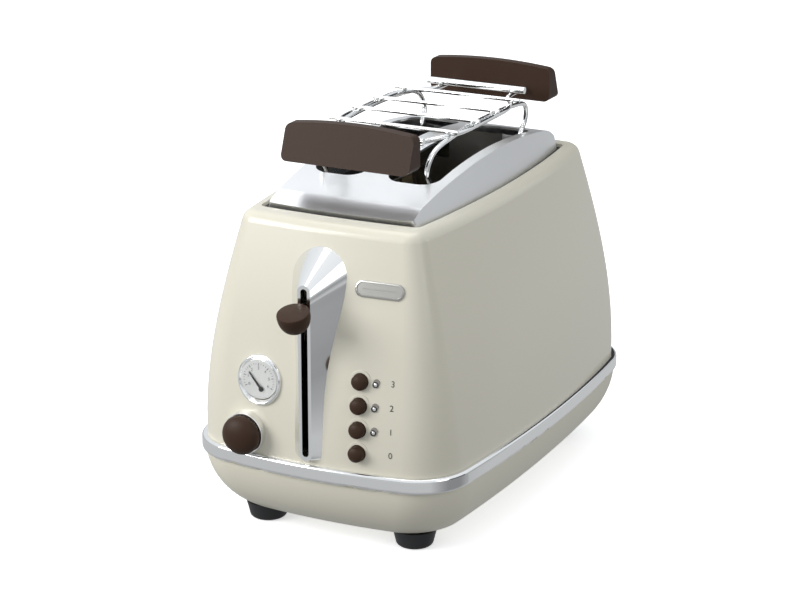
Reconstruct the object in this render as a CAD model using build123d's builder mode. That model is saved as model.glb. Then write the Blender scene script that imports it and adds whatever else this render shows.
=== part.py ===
"""Two-slice toaster with a bun-warming rack, as an assembly of its real pieces.

Millimetres, +Z up. The lever end faces -Y. The pieces are modelled about the middle of the
housing and moved along Y at the end, so that the origin is under the middle of the whole toaster.
"""

import os
from copy import deepcopy

from build123d import *

os.makedirs("parts", exist_ok=True)

# Heights of the housing
foot_height = 11.0
seam_z = 51.0
band_bottom = 46.0
band_top = 56.0
rim_z = 196.0

# Plan of the steel shell at the band, and at the level of its shoulder
base_half_x = 90.5
base_half_y = 144.5
base_side_bow = 980.0
base_end_bow = 330.0
base_corner = 32.0
shoulder_z = 188.0
shoulder_half_x = 68.0
shoulder_half_y = 123.0
shoulder_side_bow = 850.0
shoulder_end_bow = 600.0
shoulder_corner = 12.0
shoulder_radius = 8.0
shell_wall = 2.2

# Lower housing
bowl_depth = 44.0
bowl_inset = 36.0
bowl_edge = 7.0
bowl_wall = 2.6
band_proud = 3.1
foot_radius = 13.5
foot_tip_radius = 8.5
foot_x = 49.7
foot_y = 104.8

# Opening of the shell and the chromed cover
opening_half_x = 58.5
opening_half_y = 107.5
opening_corner = 4.0
lip_half_x = 54.8
lip_half_y = 105.6
lip_z = 197.0
crease_half_x = 48.6
crown_z = 215.2
crown_y = 6.0
front_crease_y = 90.8
front_crease_z = 203.4
rear_crease_y = 90.0
rear_crease_z = 208.0
cover_wall = 1.5
seat_overlap = 2.0
seat_height = 6.8

# Bread slots
slot_centre_y = 9.0
slot_half_length = 73.0
slot_corner = 11.0
slot_inner_x = 7.6
slot_outer_x = 41.2
slot_centre_x = (slot_inner_x + slot_outer_x) / 2

# Chassis
plate_thickness = 1.2
plate_half_x = 50.0
seat_top = rim_z - shell_wall
chassis_top = seat_top - seat_height
liner_bottom = 44.0
board_bottom = 60.0
board_height = 112.0
board_thickness = 1.2
board_x = 45.5
ribbon_width = 1.8
ribbon_thickness = 0.4
ribbon_rows = 8

# Bread guides
guide_rod = 1.6
guide_bar = 2.0
guide_low_z = 66.0
guide_high_z = 176.0
guide_inner_x = 10.4
guide_outer_x = 38.4
guide_rods = 7
guide_travel = 5.0
guide_play = 0.3
guide_tail = 1.0

# Lever, carriage and bread racks
lever_travel = 82.0
lever_z = 150.0
lever_slot_width = 4.2
lever_slot_low = 61.5
lever_slot_high = 164.0
arm_width = 3.0
arm_height = 6.0
guide_pin_radius = 2.0
running_clearance = 0.05
guide_pin_y = -84.0
keeper_x = 20.0
keeper_size = 14.0
keeper_gap = 0.6
lifter_width = 10.0
lifter_thickness = 1.4
lifter_z = 136.0
nose_y = -148.0
nose_half_width = 4.1
nose_low = 63.0
nose_high = 162.0
fin_half_width = 17.4
knob_y = -161.0
knob_radius = 9.7
knob_height = 13.5
knob_z = 147.5
knob_tilt = 16.0

# Controls on the front
button_x = 32.2
button_low_z = 68.3
button_pitch = 14.2
button_radius = 5.6
button_proud = 4.6
button_travel = 2.5
button_gap = 0.3
button_flange = 6.8
switch_depth = 4.0
lamp_x = 41.6
lamp_radius = 2.0
gauge_x = -34.5
gauge_z = 101.5
gauge_radius = 14.0
gauge_proud = 3.2
dial_depth = 2.2
dial_thickness = 0.8
needle_x = -32.6
needle_z = 96.0
needle_length = 12.6
needle_angle = 39.0
needle_shaft = 0.8
dial_knob_x = -41.8
dial_knob_z = 68.8
dial_knob_radius = 11.7
dome_depth = 9.0
collar_radius = 12.6
collar_proud = 2.0
shaft_radius = 3.0
badge_x = 39.0
badge_z = 163.4
badge_length = 31.0
badge_width = 10.6
badge_proud = 1.2

# Crumb tray
tray_half_x = 44.0
tray_front_y = -58.0
tray_z = 23.0
tray_rim = 5.0
tray_wall = 1.0
tray_gap = 0.4
tray_grip = 4.0

# Cord gland and base screws
gland_x = 56.0
gland_z = 36.0
gland_radius = 5.0
gland_collar = 7.5
screw_radius = 3.4
screw_head = 1.4
screw_pitch_x = 108.0
screw_pitch_y = 132.0

# Bun-warming rack
rack_y = 10.0
rack_wire = 1.5
cross_wire = 1.2
end_rod = 2.2
weld_sink = 0.15
rail_x = 41.2
rail_z = 232.2
rail_end_x = 24.4
rail_end_drop = 1.4
cross_half_x = 43.0
cross_inner_y = 14.2
cross_outer_y = 44.6
end_rod_y = 72.4
end_rod_half_x = 34.0
leg_foot_x = 34.5
leg_crown_x = 38.1
leg_foot_y = 64.5
leg_bulge_y = 70.0
foot_rest_z = 204.2
tab_length = 15.0
foot_rest_gap = 0.3
handle_inner_y = 93.0
handle_top_thickness = 6.5
handle_bottom_thickness = 15.6
handle_half_x = 42.0
handle_low_z = 223.0
handle_high_z = 244.0
handle_camber = 2.8

# The lever knob reaches further forward than the band reaches back
front_reach = -knob_y + knob_radius
rear_reach = base_half_y + band_proud
housing_y = (front_reach - rear_reach) / 2

pieces = {}


def bowed_rectangle(half_x, half_y, side_bow, end_bow, corner):
    """A rectangle whose sides and ends are shallow arcs, with rounded corners."""
    with BuildSketch() as outline:
        with Locations((half_x - side_bow, 0)):
            Circle(side_bow)
        with Locations((side_bow - half_x, 0)):
            Circle(side_bow, mode=Mode.INTERSECT)
        with Locations((0, half_y - end_bow)):
            Circle(end_bow, mode=Mode.INTERSECT)
        with Locations((0, end_bow - half_y)):
            Circle(end_bow, mode=Mode.INTERSECT)
        fillet(outline.vertices(), corner)
    return outline.sketch


def shell_outline(z, inset=0.0):
    """Plan of the steel shell at a height: it leans in more and more towards the top."""
    rise = (z - band_top) / (shoulder_z - band_top)
    lean = 1.4 * rise**2 - 0.4 * rise**3 if rise > 0 else 0.0
    rise = max(rise, 0.0)
    return bowed_rectangle(
        base_half_x - (base_half_x - shoulder_half_x) * lean - inset,
        base_half_y - (base_half_y - shoulder_half_y) * lean - inset,
        base_side_bow - (base_side_bow - shoulder_side_bow) * rise - inset,
        base_end_bow + (shoulder_end_bow - base_end_bow) * rise - inset,
        base_corner - (base_corner - shoulder_corner) * rise - inset,
    )


def bowl_outline(z, inset=0.0):
    """Plan of the lower housing at a height: a quarter of an ellipse, turned round the plan."""
    depth = (seam_z - z) / bowl_depth
    curve = bowl_inset * (1 - (1 - depth**2) ** 0.5)
    return bowed_rectangle(
        base_half_x + 1.8 - curve - inset,
        base_half_y + 0.6 - 1.15 * curve - inset,
        base_side_bow + 300 - inset,
        base_end_bow + 45 - inset,
        base_corner + 6 - 0.4 * curve - inset,
    )


def opening_outline(growth=0.0):
    """Plan of the shell's opening, or of a piece that follows it at a distance."""
    return bowed_rectangle(
        opening_half_x + growth,
        opening_half_y + growth,
        shoulder_side_bow + growth,
        shoulder_end_bow + growth,
        opening_corner + max(growth, -2.0),
    )


def keep(name, piece):
    """Collects a finished piece under its name."""
    pieces[name] = deepcopy(piece.part)
    pieces[name].label = name


# Steel shell: one deep pressing, enamelled, with a rounded shoulder round its opening
with BuildPart() as outer_form:
    for step in range(6):
        level = seam_z + (rim_z - seam_z) * step / 5
        with BuildSketch(Plane.XY.offset(level)):
            add(shell_outline(level))
    loft()
    fillet(outer_form.faces().sort_by(Axis.Z)[-1].edges(), shoulder_radius)


def face_y(x, z):
    """Where the shell's front face stands at x and z."""
    hits = outer_form.part.find_intersection_points(Axis((x, -300, z), (0, 1, 0)))
    return min(point.Y for point, normal in hits)


with BuildPart() as shell_cavity:
    for step in range(6):
        level = seam_z - 1 + (rim_z - shell_wall - seam_z + 1) * step / 5
        with BuildSketch(Plane.XY.offset(level)):
            add(shell_outline(level, shell_wall))
    loft()

button_heights = [button_low_z + button_pitch * row for row in range(4)]

with BuildPart() as body_shell:
    add(outer_form.part)
    add(shell_cavity.part, mode=Mode.SUBTRACT)
    with BuildSketch(Plane.XY.offset(shoulder_z - 10)):
        add(opening_outline())
    extrude(amount=30, mode=Mode.SUBTRACT)
    # Openings in the front for the lever, gauge, browning knob, buttons and lamps
    with BuildSketch(Plane.XZ.offset(-shell_cavity.part.bounding_box().min.Y - 60)):
        with Locations((0, (lever_slot_low + lever_slot_high) / 2)):
            SlotOverall(lever_slot_high - lever_slot_low, lever_slot_width + 1, rotation=90)
        with Locations((gauge_x, gauge_z)):
            Circle(gauge_radius - 1.5)
        with Locations((dial_knob_x, dial_knob_z)):
            Circle(shaft_radius + 2)
        with Locations(*[(button_x, height) for height in button_heights]):
            Circle(button_radius + button_gap)
        with Locations(*[(lamp_x, height) for height in button_heights[1:]]):
            Circle(lamp_radius)
    extrude(amount=80, mode=Mode.SUBTRACT)
keep("body_shell", body_shell)

# Lower housing: a moulded bowl with runners for the crumb tray and a slot for it at the back
with BuildPart() as bowl_form:
    for step in range(6):
        level = foot_height + (seam_z - foot_height) * step / 5
        with BuildSketch(Plane.XY.offset(level)):
            add(bowl_outline(level))
    loft()
    fillet(bowl_form.faces().sort_by(Axis.Z)[0].edges(), bowl_edge)

floor_z = foot_height + bowl_wall
rear_y = bowl_form.part.bounding_box().max.Y

with BuildPart() as bowl_cavity:
    for step in range(6):
        level = floor_z + (seam_z - floor_z) * step / 5
        with BuildSketch(Plane.XY.offset(level)):
            add(bowl_outline(level, bowl_wall))
    loft()

with BuildPart() as lower_housing:
    add(bowl_form.part)
    add(bowl_cavity.part, mode=Mode.SUBTRACT)
    with BuildSketch(Plane.XY.offset(floor_z)):
        with Locations((-tray_half_x + 4, 22), (tray_half_x - 4, 22)):
            Rectangle(4, 170)
    extrude(amount=tray_z - tray_gap - floor_z)
    with BuildSketch(Plane.XZ.offset(-rear_y - 10)):
        with Locations((0, tray_z + tray_rim / 2)):
            RectangleRounded(2 * (tray_half_x + tray_gap), tray_rim + 2 * tray_gap, 1)
    extrude(amount=60, mode=Mode.SUBTRACT)
    with BuildSketch(Plane.XY.offset(foot_height)):
        with GridLocations(12, 0, 5, 1):
            SlotOverall(60, 4, rotation=90)
    extrude(amount=bowl_wall, mode=Mode.SUBTRACT)
    with BuildSketch(Plane.XZ.offset(-base_half_y)):
        with Locations((gland_x, gland_z)):
            Circle(gland_radius)
    extrude(amount=30, mode=Mode.SUBTRACT)
keep("lower_housing", lower_housing)

# Chromed band over the seam
with BuildPart() as trim_band:
    with BuildSketch(Plane.XY.offset(band_bottom)):
        add(bowed_rectangle(base_half_x + band_proud, base_half_y + band_proud, base_side_bow + 100,
                            base_end_bow + 20, base_corner + 3))
    extrude(amount=band_top - band_bottom)
    fillet(trim_band.faces().sort_by(Axis.Z)[-1].outer_wire().edges(), 2.2)
    fillet(trim_band.faces().sort_by(Axis.Z)[0].outer_wire().edges(), 2.6)
    add(outer_form.part, mode=Mode.SUBTRACT)
    add(bowl_form.part, mode=Mode.SUBTRACT)
keep("trim_band", trim_band)

# Rubber feet, turned to a taper with a rounded tread
with BuildPart() as rubber_feet:
    for side in (-1, 1):
        for end in (-1, 1):
            with BuildSketch(Plane.XZ.offset(-end * foot_y)):
                with BuildLine():
                    Polyline((side * foot_x, 0), (side * foot_x + foot_tip_radius, 0))
                    RadiusArc((side * foot_x + foot_tip_radius, 0),
                              (side * foot_x + foot_tip_radius + 3.0, 3.0), -3.2)
                    Polyline((side * foot_x + foot_tip_radius + 3.0, 3.0),
                             (side * foot_x + foot_radius, foot_height),
                             (side * foot_x, foot_height), (side * foot_x, 0))
                make_face()
            revolve(axis=Axis((side * foot_x, end * foot_y, 0), (0, 0, 1)))
keep("rubber_feet", rubber_feet)

# Chromed pressing over the toasting chambers: an arched top with leaning sides
with BuildPart() as cover_form:
    with BuildSketch(Plane.XY.offset(seat_top)):
        add(opening_outline(lip_half_x - opening_half_x))
    with BuildSketch(Plane.XY.offset(crown_z + 4)):
        add(bowed_rectangle(crease_half_x - 1.2, lip_half_y + 4, shoulder_side_bow, shoulder_end_bow, 2.0))
    loft()


def cover_profile(drop):
    """Side view of the cover, a wall's thickness inside it where drop isn't zero."""
    with BuildSketch(Plane.YZ) as profile:
        with BuildLine():
            low = seat_top - 3
            front_crease = (-front_crease_y, front_crease_z - drop)
            crown = (crown_y, crown_z - drop)
            rear_crease = (rear_crease_y, rear_crease_z - drop)
            rear_low = (lip_half_y + 0.6 - drop, lip_z)
            Polyline((rear_low[0], low), (-lip_half_y - 1 + drop, low), (-lip_half_y - 1 + drop, lip_z),
                     front_crease)
            top = ThreePointArc(front_crease, crown, rear_crease)
            TangentArc(rear_crease, rear_low, tangent=top % 1)
            Line(rear_low, (rear_low[0], low))
        make_face()
    return profile.sketch


def cover_block(drop):
    """The side view of the cover, drawn out wider than the cover."""
    with BuildPart() as block:
        extrude(cover_profile(drop), amount=80, both=True)
    return block.part


with BuildPart() as cover_space:
    with BuildSketch(Plane.XY.offset(seat_top - 4)):
        add(opening_outline(lip_half_x - opening_half_x - cover_wall))
    with BuildSketch(Plane.XY.offset(crown_z + 4)):
        add(bowed_rectangle(crease_half_x - 1.2 - cover_wall, lip_half_y + 4 - cover_wall,
                            shoulder_side_bow, shoulder_end_bow, 2.0))
    loft()
    add(cover_block(cover_wall), mode=Mode.INTERSECT)

with BuildPart() as top_cover:
    add(cover_form.part)
    add(cover_block(0), mode=Mode.INTERSECT)
    add(cover_space.part, mode=Mode.SUBTRACT)
    with BuildSketch(Plane.XY.offset(lip_z - 4)):
        with Locations((-slot_centre_x, slot_centre_y), (slot_centre_x, slot_centre_y)):
            RectangleRounded(slot_outer_x - slot_inner_x, 2 * slot_half_length, slot_corner)
    extrude(amount=30, mode=Mode.SUBTRACT)
keep("top_cover", top_cover)

# Black carrier ring: the cover stands on it, and it ties the chassis to the shell
with BuildPart() as cover_seat:
    with BuildSketch(Plane.XY.offset(chassis_top)):
        add(opening_outline(seat_overlap))
        RectangleRounded(2 * (slot_outer_x + 3.5), 2 * (lip_half_y - 8), 6, mode=Mode.SUBTRACT)
    extrude(amount=seat_height)
keep("cover_seat", cover_seat)

# End plates of the chassis, with the ways of the bread guides, racks and crumb tray
plate_front_y = slot_centre_y - slot_half_length - 1.5
plate_rear_y = slot_centre_y + slot_half_length + 1.5
guide_bar_heights = (guide_low_z, guide_high_z)
guide_places = [side * x for side in (-1, 1) for x in (guide_inner_x, guide_outer_x)]


def guide_shift(x):
    """Where a bread guide ends its travel: each one closes on the middle of its slot."""
    return guide_travel if abs(x) < slot_centre_x else -guide_travel


def end_plate(y, sense):
    """Steel end plate with its outer face at y and its top tabs turned in along sense."""
    with BuildPart() as plate:
        with BuildSketch(Plane.XZ.offset(-y)):
            with Locations((0, floor_z)):
                Rectangle(2 * plate_half_x, chassis_top - floor_z, align=(Align.CENTER, Align.MIN))
            with Locations((0, floor_z)):
                Rectangle(2 * (slot_outer_x - 1), foot_rest_z - floor_z, align=(Align.CENTER, Align.MIN))
            for x in guide_places:
                middle = x + (guide_shift(x) if x > 0 else -guide_shift(x)) / 2
                with Locations(*[(middle, height) for height in guide_bar_heights]):
                    SlotOverall(guide_travel + guide_bar + 2 * guide_play,
                                guide_bar + 2 * guide_play, mode=Mode.SUBTRACT)
            with Locations((-slot_centre_x, 98), (slot_centre_x, 98)):
                Rectangle(lifter_width + 2, 104, mode=Mode.SUBTRACT)
            with Locations((0, floor_z)):
                Rectangle(2 * tray_half_x + 4, tray_z + tray_rim + 2 - floor_z,
                          align=(Align.CENTER, Align.MIN), mode=Mode.SUBTRACT)
            with Locations((-slot_centre_x, foot_rest_z), (slot_centre_x, foot_rest_z)):
                Rectangle(12, 2 * (foot_rest_z - guide_high_z - 8), mode=Mode.SUBTRACT)
        extrude(amount=-sense * plate_thickness)
        with BuildSketch(Plane.XY.offset(foot_rest_z - plate_thickness)):
            with Locations((-leg_foot_x, y + sense * tab_length / 2), (leg_foot_x, y + sense * tab_length / 2)):
                Rectangle(9, tab_length)
        extrude(amount=plate_thickness)
    return plate


front_plate = end_plate(plate_front_y, 1)
rear_plate = end_plate(plate_rear_y, -1)
keep("front_plate", front_plate)
keep("rear_plate", rear_plate)

chamber_front = plate_front_y + plate_thickness
chamber_rear = plate_rear_y - plate_thickness
chamber_length = chamber_rear - chamber_front
chamber_y = (chamber_front + chamber_rear) / 2

# Bright side liners, and the mica boards with their ribbons
with BuildPart() as side_liners:
    for side in (-1, 1):
        with BuildSketch(Plane.YZ.offset(side * (plate_half_x - plate_thickness / 2) - plate_thickness / 2)):
            with Locations((chamber_y, liner_bottom)):
                Rectangle(chamber_length, chassis_top - liner_bottom, align=(Align.CENTER, Align.MIN))
        extrude(amount=plate_thickness)
keep("side_liners", side_liners)

board_places = (-board_x, 0.0, board_x)
with BuildPart() as heater_boards:
    for x in board_places:
        with BuildSketch(Plane.YZ.offset(x - board_thickness / 2)):
            with Locations((chamber_y, board_bottom)):
                Rectangle(chamber_length, board_height, align=(Align.CENTER, Align.MIN))
        extrude(amount=board_thickness)
keep("heater_boards", heater_boards)

ribbon_faces = [(-board_x, 1), (0.0, -1), (0.0, 1), (board_x, -1)]
with BuildPart() as heater_ribbons:
    for x, sense in ribbon_faces:
        face = x + sense * board_thickness / 2
        with BuildSketch(Plane.YZ.offset(min(face, face + sense * ribbon_thickness))):
            with Locations((chamber_y, board_bottom + board_height / 2)):
                with GridLocations(0, board_height / ribbon_rows, 1, ribbon_rows):
                    Rectangle(chamber_length - 12, ribbon_width)
        extrude(amount=ribbon_thickness)
keep("heater_ribbons", heater_ribbons)


def bread_guide(x):
    """One wire cage: upright rods welded between two long bars that run in the end plates."""
    with BuildPart() as cage:
        for height in guide_bar_heights:
            with BuildSketch(Plane.XZ.offset(-plate_rear_y - guide_tail)):
                with Locations((x, height)):
                    Circle(guide_bar / 2)
            extrude(amount=plate_rear_y - plate_front_y + 2 * guide_tail)
        with BuildSketch(Plane.XY.offset(guide_low_z)):
            with Locations((x, chamber_y)):
                with GridLocations(0, (chamber_length - 16) / (guide_rods - 1), 1, guide_rods):
                    Circle(guide_rod / 2)
        extrude(amount=guide_high_z - guide_low_z)
    return cage


keep("guide_left_outer", bread_guide(-guide_outer_x))
keep("guide_left_inner", bread_guide(-guide_inner_x))
keep("guide_right_inner", bread_guide(guide_inner_x))
keep("guide_right_outer", bread_guide(guide_outer_x))

# Carriage: it runs on a steel pin and carries both bread racks and the lever arm
boss_low = lever_z - 16
boss_high = lever_z + 6
crosshead_y = plate_front_y - 3.2
with BuildPart() as guide_pin:
    with BuildSketch(Plane.XY.offset(floor_z)):
        with Locations((0, guide_pin_y)):
            Circle(guide_pin_radius)
    extrude(amount=chassis_top - floor_z)
keep("guide_pin", guide_pin)

with BuildPart() as lever_carriage:
    with BuildSketch(Plane.XY.offset(boss_low)):
        with Locations((0, guide_pin_y)):
            Circle(5.5)
        with Locations((0, (guide_pin_y + crosshead_y) / 2)):
            Rectangle(5, abs(guide_pin_y - crosshead_y))
    extrude(amount=boss_high - boss_low)
    with BuildSketch(Plane.XZ.offset(-crosshead_y)):
        with Locations((0, lifter_z + 4)):
            Rectangle(2 * slot_centre_x + lifter_width, 12)
    extrude(amount=-plate_thickness)
    with BuildSketch(Plane.XY.offset(lever_z - arm_height / 2)):
        with Locations((0, guide_pin_y)):
            Rectangle(arm_width, abs(knob_y - guide_pin_y), align=(Align.CENTER, Align.MAX))
    extrude(amount=arm_height)
    with BuildSketch(Plane.XY.offset(boss_low)):
        with Locations((keeper_x, crosshead_y)):
            Rectangle(keeper_size, keeper_size + 6, align=(Align.CENTER, Align.MAX))
    extrude(amount=2)
    with BuildSketch(Plane.XY.offset(boss_low - 1)):
        with Locations((0, guide_pin_y)):
            Circle(guide_pin_radius + running_clearance)
    extrude(amount=boss_high - boss_low + 2, mode=Mode.SUBTRACT)
keep("lever_carriage", lever_carriage)


def bread_lifter(x):
    """Flat steel rack under one slice, with upturned teeth, joined to the carriage's crosshead."""
    with BuildPart() as lifter:
        with BuildSketch(Plane.XY.offset(lifter_z - lifter_thickness)):
            with Locations((x, crosshead_y + plate_thickness)):
                Rectangle(lifter_width, chamber_rear - 2 - crosshead_y - plate_thickness,
                          align=(Align.CENTER, Align.MIN))
            with Locations((x, chamber_y)):
                with GridLocations(0, 22, 1, 6):
                    SlotOverall(14, 4, rotation=90, mode=Mode.SUBTRACT)
        extrude(amount=lifter_thickness)
        with BuildSketch(Plane.XY.offset(lifter_z)):
            with Locations((x, chamber_y)):
                with GridLocations(lifter_width - 1.2, 22, 2, 6):
                    Rectangle(1.2, 4)
        extrude(amount=3)
    return lifter


keep("bread_lifter_left", bread_lifter(-slot_centre_x))
keep("bread_lifter_right", bread_lifter(slot_centre_x))

# Return spring round the pin, under the carriage
spring_low = floor_z + 8
with BuildPart() as return_spring:
    with BuildSketch(Plane.XY.offset(spring_low)):
        with Locations((0, guide_pin_y)):
            Circle(guide_pin_radius + 1.6)
            Circle(guide_pin_radius + 0.4, mode=Mode.SUBTRACT)
    extrude(amount=boss_low - spring_low)
keep("return_spring", return_spring)

# Spring seat with the electromagnet that holds the carriage down
keeper_low = boss_low - lever_travel
with BuildPart() as holding_magnet:
    with BuildSketch(Plane.XY.offset(floor_z)):
        with Locations((10, guide_pin_y)):
            Rectangle(36, 14)
        with Locations((0, guide_pin_y)):
            Circle(guide_pin_radius, mode=Mode.SUBTRACT)
    extrude(amount=spring_low - floor_z)
    with BuildSketch(Plane.XY.offset(spring_low)):
        with Locations((keeper_x, guide_pin_y)):
            RectangleRounded(keeper_size, 12, 2)
    extrude(amount=keeper_low - keeper_gap - spring_low)
keep("holding_magnet", holding_magnet)

# Bracket that holds the top of the pin to the front plate
with BuildPart() as pin_bracket:
    with BuildSketch(Plane.XY.offset(chassis_top - 3)):
        with Locations((0, plate_front_y)):
            Rectangle(16, plate_front_y - guide_pin_y + 6, align=(Align.CENTER, Align.MAX))
        with Locations((0, guide_pin_y)):
            Circle(guide_pin_radius, mode=Mode.SUBTRACT)
    extrude(amount=2)
keep("pin_bracket", pin_bracket)

# Chromed lever bezel: a raised nose with a slot, whose flanks sweep back to the face
with BuildPart() as bezel_form:
    with BuildSketch(Plane.XZ.offset(-nose_y)):
        with BuildLine():
            Line((-nose_half_width, nose_high), (-nose_half_width, nose_low))
            RadiusArc((-nose_half_width, nose_low), (nose_half_width, nose_low), -nose_half_width)
            Line((nose_half_width, nose_low), (nose_half_width, nose_high))
            RadiusArc((nose_half_width, nose_high), (-nose_half_width, nose_high), -nose_half_width)
        make_face()
    lean_top = face_y(0, nose_high + fin_half_width)
    lean_low = face_y(0, nose_low)
    lean = (lean_top - lean_low) / (nose_high + fin_half_width - nose_low)
    foot_plane = Plane(origin=(0, lean_low + 1.2, nose_low), x_dir=(1, 0, 0), z_dir=(0, -1, lean))
    fin_top = nose_high - nose_low + 3
    with BuildSketch(foot_plane):
        with BuildLine():
            flank = Spline((8.6, 0), (10.6, 36), (14.2, 70), (fin_half_width, fin_top),
                           tangents=((0, 1), (0, 1)))
            ThreePointArc((fin_half_width, fin_top), (0, fin_top + fin_half_width), (-fin_half_width, fin_top))
            mirror(flank, about=Plane.YZ)
            ThreePointArc((-8.6, 0), (0, -7.2), (8.6, 0))
        make_face()
    loft(ruled=True)

with BuildPart() as lever_bezel:
    add(bezel_form.part)
    add(outer_form.part, mode=Mode.SUBTRACT)
    with BuildSketch(Plane.XZ.offset(-nose_y + 10)):
        with Locations((0, (lever_slot_low + lever_slot_high) / 2)):
            SlotOverall(lever_slot_high - lever_slot_low, lever_slot_width, rotation=90)
    extrude(amount=-60, mode=Mode.SUBTRACT)
keep("lever_bezel", lever_bezel)

# Lever knob: a moulded disc that leans towards the user
knob_plane = Plane(origin=(0, knob_y, knob_z), x_dir=(1, 0, 0), z_dir=(0, -1, 0)).rotated((knob_tilt, 0, 0))
with BuildPart() as lever_knob:
    with BuildSketch(knob_plane):
        with BuildLine():
            half = knob_height / 2
            Line((0, -half), (0, half))
            Line((0, half), (knob_radius - 1.2, half))
            ThreePointArc((knob_radius - 1.2, half), (knob_radius - 0.35, half - 0.35), (knob_radius, half - 1.2))
            Line((knob_radius, half - 1.2), (knob_radius - 1, -half + 4))
            ThreePointArc((knob_radius - 1, -half + 4), (knob_radius - 2.2, -half + 1.2), (knob_radius - 5, -half))
            Line((knob_radius - 5, -half), (0, -half))
        make_face()
    revolve(axis=Axis(knob_plane.origin, knob_plane.y_dir))
    add(lever_carriage.part, mode=Mode.SUBTRACT)
keep("lever_knob", lever_knob)

# Front circuit board with one switch behind each button
board_face_y = -118.0
with BuildPart() as circuit_board:
    with BuildSketch(Plane.XZ.offset(-board_face_y)):
        with Locations((button_x, floor_z)):
            Rectangle(32, 111, align=(Align.CENTER, Align.MIN))
    extrude(amount=-1.6)
    with BuildSketch(Plane.XZ.offset(-board_face_y)):
        with Locations(*[(button_x, height) for height in button_heights]):
            Rectangle(8, 8)
    extrude(amount=switch_depth)
keep("circuit_board", circuit_board)

stem_back_y = board_face_y - switch_depth - button_travel - button_gap


def push_button(height):
    """Domed cap with a stop flange behind the shell and a stem that reaches for its switch."""
    front = face_y(button_x, height) - button_proud
    flange = face_y(button_x + button_flange, height + button_flange) + shell_wall + 1
    with BuildPart() as button:
        with BuildSketch(Plane.XZ.offset(-flange)):
            with Locations((button_x, height)):
                Circle(button_radius)
        extrude(amount=flange - front)
        fillet(button.faces().sort_by(Axis.Y)[0].edges(), 2.2)
        with BuildSketch(Plane.XZ.offset(-flange)):
            with Locations((button_x, height)):
                Circle(button_flange)
        extrude(amount=-1.5)
        with BuildSketch(Plane.XZ.offset(-stem_back_y)):
            with Locations((button_x, height)):
                Circle(2.2)
        extrude(amount=stem_back_y - flange)
    return button


keep("button_bottom", push_button(button_heights[0]))
keep("button_lower", push_button(button_heights[1]))
keep("button_upper", push_button(button_heights[2]))
keep("button_top", push_button(button_heights[3]))

# Light pipes of the three indicator lamps
with BuildPart() as indicator_lamps:
    for height in button_heights[1:]:
        lamp_face = face_y(lamp_x, height)
        with BuildSketch(Plane.XZ.offset(-lamp_face - 0.4)):
            with Locations((lamp_x, height)):
                Circle(lamp_radius)
        extrude(amount=0.8)
        with BuildSketch(Plane.XZ.offset(-lamp_face - 0.4)):
            with Locations((lamp_x, height)):
                Circle(lamp_radius)
        extrude(amount=-5)
keep("indicator_lamps", indicator_lamps)

# Gauge: chromed bezel with a cup behind it, dial, glass and needle
gauge_front = face_y(gauge_x, gauge_z) - gauge_proud
gauge_inner = gauge_radius - 2
with BuildPart() as gauge_bezel:
    with BuildSketch(Plane.XZ.offset(-gauge_front)):
        with Locations((gauge_x, gauge_z)):
            Circle(gauge_radius)
            Circle(gauge_inner, mode=Mode.SUBTRACT)
    extrude(amount=-12)
    fillet(gauge_bezel.faces().sort_by(Axis.Y)[0].outer_wire().edges(), 1.2)
    add(outer_form.part, mode=Mode.SUBTRACT)
    with BuildSketch(Plane.XZ.offset(-gauge_front - 12)):
        with Locations((gauge_x, gauge_z)):
            Circle(gauge_inner + 0.3)
            Circle(gauge_inner - 0.5, mode=Mode.SUBTRACT)
    extrude(amount=12 - dial_depth - dial_thickness)
    with BuildSketch(Plane.XZ.offset(-gauge_front - 12)):
        with Locations((gauge_x, gauge_z)):
            Circle(gauge_inner + 0.3)
    extrude(amount=1)
keep("gauge_bezel", gauge_bezel)

with BuildPart() as gauge_dial:
    with BuildSketch(Plane.XZ.offset(-gauge_front - dial_depth)):
        with Locations((gauge_x, gauge_z)):
            Circle(gauge_inner)
        with Locations((needle_x, needle_z)):
            Circle(needle_shaft + running_clearance, mode=Mode.SUBTRACT)
    extrude(amount=-dial_thickness)
keep("gauge_dial", gauge_dial)

with BuildPart() as gauge_glass:
    with BuildSketch(Plane.XZ.offset(-gauge_front - 0.3)):
        with Locations((gauge_x, gauge_z)):
            Circle(gauge_inner)
    extrude(amount=-0.4)
keep("gauge_glass", gauge_glass)

with BuildPart() as gauge_needle:
    with BuildSketch(Plane.XZ.offset(-gauge_front - 1.6)):
        with Locations((needle_x, needle_z)):
            with Locations(Rotation(0, 0, needle_angle)):
                Trapezoid(1.2, needle_length, 88.5, align=(Align.CENTER, Align.MIN))
            Circle(1.5)
    extrude(amount=0.5)
    with BuildSketch(Plane.XZ.offset(-gauge_front - 1.6)):
        with Locations((needle_x, needle_z)):
            Circle(needle_shaft)
    extrude(amount=-5)
keep("gauge_needle", gauge_needle)

# Browning control: collar on the face, domed knob with its shaft, and the potentiometer
dial_face = face_y(dial_knob_x, dial_knob_z)
with BuildPart() as knob_collar:
    with BuildSketch(Plane.XZ.offset(-dial_face + collar_proud)):
        with Locations((dial_knob_x, dial_knob_z)):
            Circle(collar_radius)
            Circle(shaft_radius + 1, mode=Mode.SUBTRACT)
    extrude(amount=-8)
    fillet(knob_collar.faces().sort_by(Axis.Y)[0].outer_wire().edges(), 0.8)
    add(outer_form.part, mode=Mode.SUBTRACT)
keep("knob_collar", knob_collar)

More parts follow.
